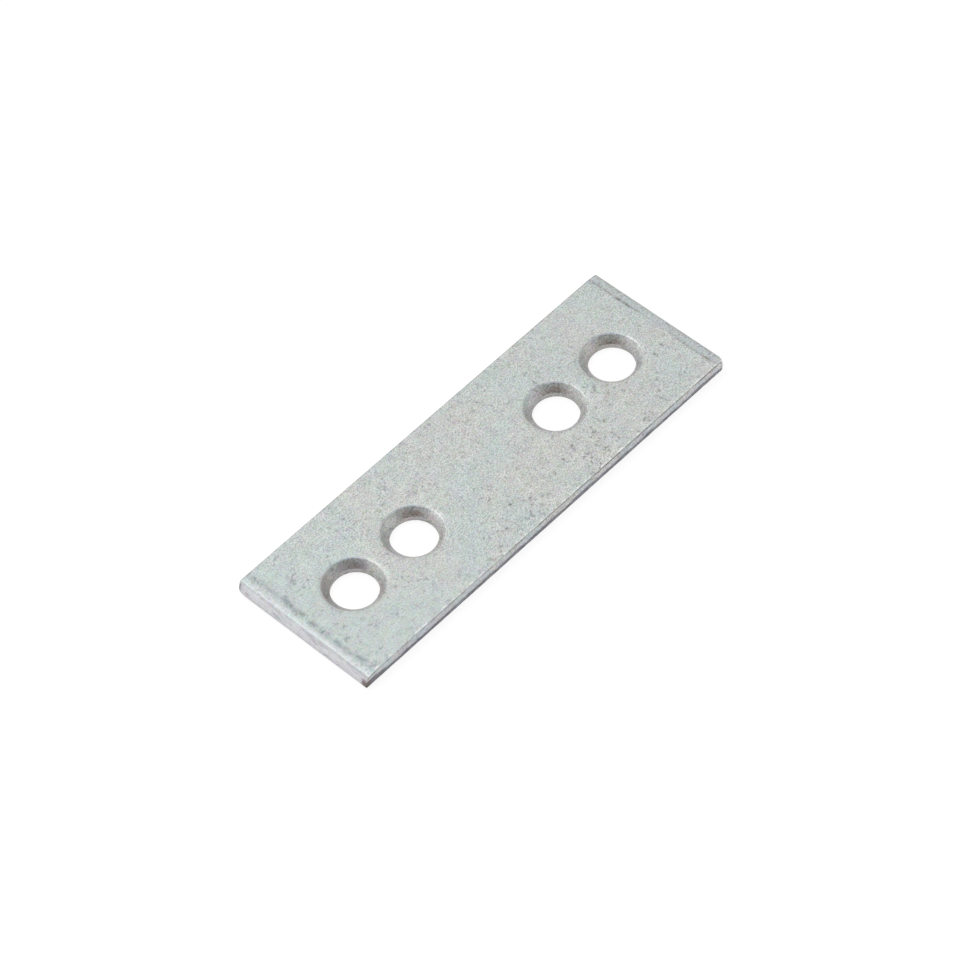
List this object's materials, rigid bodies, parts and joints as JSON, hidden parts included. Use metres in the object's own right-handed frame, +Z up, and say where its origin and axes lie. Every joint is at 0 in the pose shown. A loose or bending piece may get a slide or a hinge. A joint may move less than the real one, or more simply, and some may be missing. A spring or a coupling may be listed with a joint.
{
  "type": "mending plate",
  "caption": "Flat zinc-plated steel mending plate with countersunk screw holes along its centre line, for joining or stiffening timber.",
  "frame": {"origin": "middle of the plate's underside", "axes": "+X along the length, +Y across the width, +Z up out of the countersunk face"},
  "size_m": [0.075, 0.025, 0.002],
  "materials": {
    "zinc_plated_steel": "dull zinc plating with a fine speckle, darker on the sheared edges and in the countersinks"
  },
  "bodies": {
    "root": {"plate": "zinc_plated_steel"}
  },
  "joints": []
}
